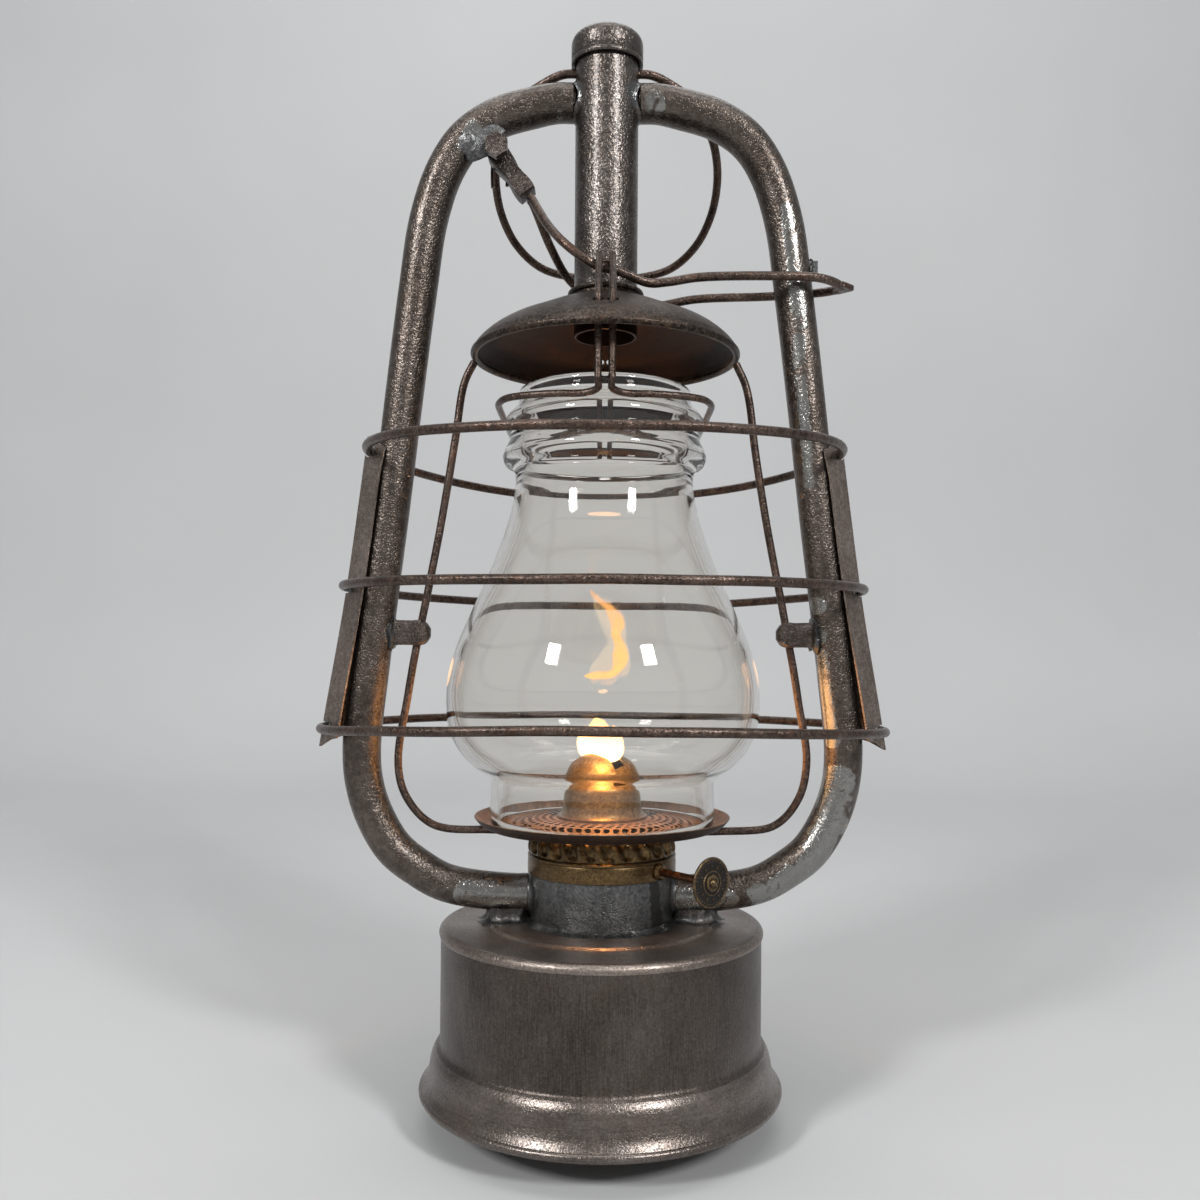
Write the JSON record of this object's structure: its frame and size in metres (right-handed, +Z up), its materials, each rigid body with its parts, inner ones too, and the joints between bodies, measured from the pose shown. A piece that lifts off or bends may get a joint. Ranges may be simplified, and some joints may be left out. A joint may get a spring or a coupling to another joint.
{
  "type": "hurricane lantern",
  "caption": "Wick-fed hurricane lantern with side air tubes, caged glass globe raised by a wire lift lever, wick knob and tilting carry ring.",
  "frame": {"origin": "centre of the foot, on the surface that it stands on", "axes": "+Z up along the lantern's axis, +X towards the lever's tip, -Y towards the viewer and the wick knob"},
  "size_m": [0.1928, 0.1323, 0.357],
  "materials": {
    "aged_steel": "aged raw sheet steel, finely pitted, clear lacquered, semi-gloss",
    "soldered_steel": "tinned and soldered steel, blue-grey, smeared, semi-gloss",
    "rusty_wire": "rust-brown steel wire, satin",
    "aged_brass": "aged brass with brown tarnish, semi-gloss",
    "rusty_plate": "coppery rust film on pierced sheet, matt",
    "clear_glass": "clear pressed glass with a faint warm grey tint",
    "wick_cotton": "woven flat cotton, charred at the top"
  },
  "bodies": {
    "frame": {"fount_shell": "aged_steel", "fount_bottom": "aged_steel", "fount_top": "aged_steel", "burner_neck": "soldered_steel", "burner_cap": "aged_brass", "burner_gallery": "aged_brass", "wick_tube": "aged_brass", "spindle_gland": "aged_brass", "side_tube_left": "aged_steel", "side_tube_right": "aged_steel", "tube_saddle_left": "soldered_steel", "tube_saddle_right": "soldered_steel", "chimney_tube": "aged_steel", "chimney_cap": "aged_steel", "lever_lug": "soldered_steel", "lever_bolt": "aged_steel", "lever_split_pin": "rusty_wire", "lever_catch": "soldered_steel", "guard_strip_left": "aged_steel", "guard_strip_right": "aged_steel", "guard_ring_lower": "rusty_wire", "guard_ring_middle": "rusty_wire", "guard_ring_upper": "rusty_wire", "guide_eye_left": "soldered_steel", "guide_eye_right": "soldered_steel"},
    "cage": {"hood": "aged_steel", "hood_collar": "aged_steel", "globe_plate": "rusty_plate", "burner_cone": "aged_brass", "cage_wire_left": "rusty_wire", "cage_wire_right": "rusty_wire", "globe": "clear_glass"},
    "retainer": {"globe_retainer": "rusty_wire"},
    "lever": {"lever_ferrule": "aged_steel", "lift_lever": "rusty_wire"},
    "carry_ring": {"carry_ring": "rusty_wire"},
    "wick_feed": {"wick": "wick_cotton"},
    "spindle": {"wick_spindle": "aged_brass", "feed_wheel_outer": "aged_brass", "feed_wheel_inner": "aged_brass", "wick_knob": "aged_brass", "knob_rivet": "aged_brass"}
  },
  "joints": [
    {"name": "cage_lift", "type": "slide", "parent": "frame", "child": "cage", "axis": [0, 0, 1], "range_m": [0, 0.02]},
    {"name": "lever_lift", "type": "hinge", "parent": "frame", "child": "lever", "pos_m": [-0.0367, 0, 0.3152], "axis": [0, -1, 0], "range_deg": [0, 20]},
    {"name": "retainer_lift", "type": "slide", "parent": "cage", "child": "retainer", "axis": [0, 0, 1], "range_m": [0, 0.018]},
    {"name": "carry_ring_swing", "type": "hinge", "parent": "frame", "child": "carry_ring", "pos_m": [0, 0, 0.3432], "axis": [1, 0, 0], "range_deg": [0, 276]},
    {"name": "wick_turn", "type": "hinge", "parent": "frame", "child": "spindle", "pos_m": [0.00195, 0.00172, 0.0756], "axis": [0.6626, -0.749, 0], "range_deg": [-143, 114]},
    {"name": "wick_rise", "type": "slide", "parent": "frame", "child": "wick_feed", "axis": [0, 0, 1], "range_m": [-0.004, 0.005]}
  ],
  "couplings": [
    {"joint": "lever_lift", "follows": "cage_lift", "rad_per_m": 17.2},
    {"joint": "wick_rise", "follows": "wick_turn", "m_per_rad": -0.002}
  ]
}
